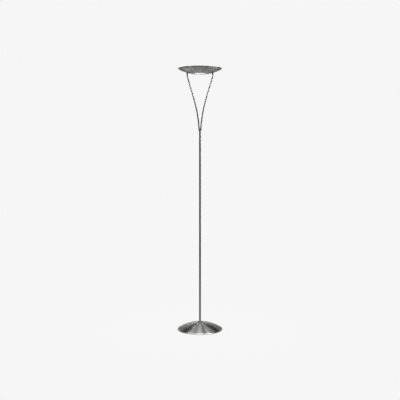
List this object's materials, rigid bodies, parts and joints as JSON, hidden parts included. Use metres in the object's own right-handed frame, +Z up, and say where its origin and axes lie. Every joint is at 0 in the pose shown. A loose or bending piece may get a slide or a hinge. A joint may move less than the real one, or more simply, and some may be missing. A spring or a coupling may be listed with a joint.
{
  "type": "floor lamp",
  "caption": "Uplighting floor lamp in satin steel: domed round base, thin stem, forked arms and a shallow spun bowl that tilts on black knuckles.",
  "frame": {"origin": "on the floor, under the middle of the stem and the base", "axes": "+Z up along the stem, X through both arms and along the tilt axis, +Y towards the back, where the cord enters"},
  "size_m": [0.312, 0.312, 1.8],
  "materials": {
    "satin_steel": "spun satin steel",
    "zinc_steel": "zinc-plated steel",
    "cast_weight": "raw casting",
    "brass": "turned brass",
    "black_moulding": "matt heat-resistant moulding",
    "pad_rubber": "foamed rubber sheet",
    "grommet_rubber": "moulded rubber",
    "terminal_moulding": "white nylon",
    "white_ceramic": "unglazed steatite",
    "clear_glass": "clear quartz",
    "opal_glass": "opal white",
    "tungsten": "tungsten wire",
    "lead_sleeve": "black silicone insulation",
    "earth_sleeve": "green and yellow insulation"
  },
  "bodies": {
    "stand": {"base_cover": "satin_steel", "stem_collar": "satin_steel", "lower_stem_tube": "satin_steel", "upper_stem_tube": "satin_steel", "fork_joint": "satin_steel", "left_arm": "satin_steel", "right_arm": "satin_steel", "base_spacer": "zinc_steel", "base_rod": "zinc_steel", "rod_washer": "zinc_steel", "rod_nut": "zinc_steel", "earth_tag": "zinc_steel", "terminal_screws": "zinc_steel", "stem_foot_bush": "zinc_steel", "lower_joint_bush": "zinc_steel", "upper_joint_bush": "zinc_steel", "stem_nipple": "zinc_steel", "fork_screw": "zinc_steel", "knuckle_trunnions": "zinc_steel", "base_weight": "cast_weight", "terminal_sleeves": "brass", "terminal_clamps": "brass", "left_knuckle": "black_moulding", "right_knuckle": "black_moulding", "floor_pad": "pad_rubber", "cord_grommet": "grommet_rubber", "terminal_block": "terminal_moulding", "left_lead": "lead_sleeve", "right_lead": "lead_sleeve", "earth_lead": "earth_sleeve"},
    "head": {"shade_bowl": "satin_steel", "glass_disc": "opal_glass", "disc_clips": "zinc_steel", "lamp_bracket": "zinc_steel", "lug_nuts": "zinc_steel", "holder_screws": "zinc_steel", "lamp_glass": "clear_glass", "lamp_filament": "tungsten", "lamp_caps": "white_ceramic", "left_lug": "black_moulding", "right_lug": "black_moulding", "left_lampholder": "white_ceramic", "right_lampholder": "white_ceramic", "left_contact_spring": "tungsten", "right_contact_spring": "tungsten", "left_head_lead": "lead_sleeve", "right_head_lead": "lead_sleeve"},
    "left_contact": {"left_contact": "brass"},
    "right_contact": {"right_contact": "brass"}
  },
  "joints": [
    {"name": "head_tilt", "type": "hinge", "parent": "stand", "child": "head", "pos_m": [0, 0, 1.76351], "axis": [1, 0, 0], "range_deg": [-25, 25]},
    {"name": "left_contact_slide", "type": "slide", "parent": "head", "child": "left_contact", "axis": [-1, 0, 0], "range_m": [0, 0.003], "stiffness_N_per_m": 1500, "springref_m": -0.001, "deforming": ["left_contact_spring"]},
    {"name": "right_contact_slide", "type": "slide", "parent": "head", "child": "right_contact", "axis": [1, 0, 0], "range_m": [0, 0.003], "stiffness_N_per_m": 1500, "springref_m": -0.001, "deforming": ["right_contact_spring"]}
  ]
}
